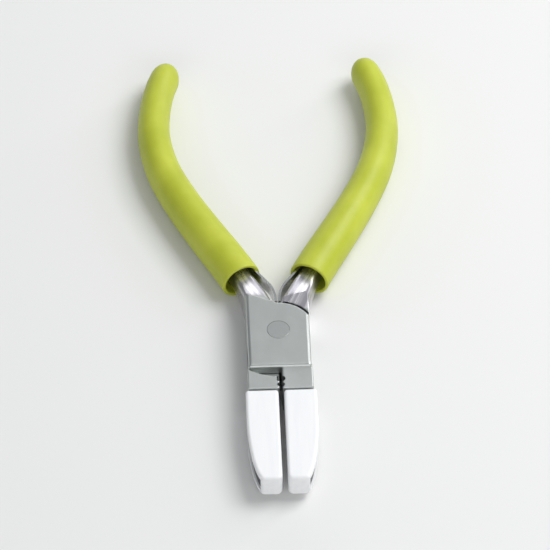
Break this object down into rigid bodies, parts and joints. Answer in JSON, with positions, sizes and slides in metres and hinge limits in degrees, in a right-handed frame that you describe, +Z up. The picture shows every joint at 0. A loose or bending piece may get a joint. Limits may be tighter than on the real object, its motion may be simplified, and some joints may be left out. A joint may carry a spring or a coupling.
{
  "type": "crimping pliers",
  "caption": "Small hand pliers with a box joint, leaf springs, dipped grips, soft nylon jaw covers and a notched crimping station between the joint and the covers.",
  "frame": {"origin": "on the pivot's axis, in the plane of the joint's underside that the pliers lie on", "axes": "+Z up along the pivot's axis, +Y towards the handle ends with the jaws along -Y, +X across to the right handle"},
  "size_m": [0.061, 0.1278, 0.0096],
  "materials": {
    "satin_steel": "satin",
    "spring_steel": "polished",
    "screw_steel": "satin",
    "lime_vinyl": "soft satin",
    "white_nylon": "satin"
  },
  "bodies": {
    "box_side": {"box_half": "satin_steel", "pivot_rivet": "satin_steel", "left_grip": "lime_vinyl", "left_leaf_spring": "spring_steel", "left_spring_rivet": "spring_steel", "right_jaw_pad": "white_nylon", "right_pad_screw_rear": "screw_steel", "right_pad_screw_front": "screw_steel"},
    "tongue_side": {"tongue_half": "satin_steel", "right_grip": "lime_vinyl", "right_leaf_spring": "spring_steel", "right_spring_rivet": "spring_steel", "left_jaw_pad": "white_nylon", "left_pad_screw_rear": "screw_steel", "left_pad_screw_front": "screw_steel"}
  },
  "joints": [
    {"name": "jaw_hinge", "type": "hinge", "parent": "box_side", "child": "tongue_side", "pos_m": [0, 0, 0], "axis": [0, 0, -1], "range_deg": [-1.6, 18], "stiffness_Nm_per_rad": 0.8, "springref_deg": 18, "deforming": ["left_leaf_spring", "right_leaf_spring"]}
  ]
}
